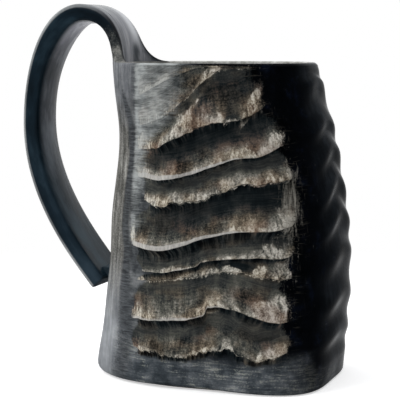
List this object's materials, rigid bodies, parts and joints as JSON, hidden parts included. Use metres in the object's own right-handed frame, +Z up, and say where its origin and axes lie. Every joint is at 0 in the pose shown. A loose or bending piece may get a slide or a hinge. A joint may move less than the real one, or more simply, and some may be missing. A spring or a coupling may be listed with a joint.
{
  "type": "drinking horn mug",
  "caption": "Drinking horn mug: ridged horn cup standing on its broad end, closed by a wooden base plug, with a tongue of horn bent from the rim down to the wall as its handle.",
  "frame": {"origin": "centre of the flat foot, on the table", "axes": "+Z up along the mug, handle towards -X, broad ridged face towards -Y, smooth dark side towards +X"},
  "size_m": [0.1506, 0.0864, 0.1652],
  "materials": {
    "horn": "polished horn with rough grey-brown growth ridges",
    "horn_tongue": "polished slate-black horn",
    "wood": "sanded and oiled hardwood",
    "resin": "clear amber resin"
  },
  "bodies": {
    "root": {"horn_body": "horn", "handle": "horn_tongue", "base_plug": "wood", "glue_ring": "resin", "base_seal": "resin", "handle_bond": "resin"}
  },
  "joints": []
}
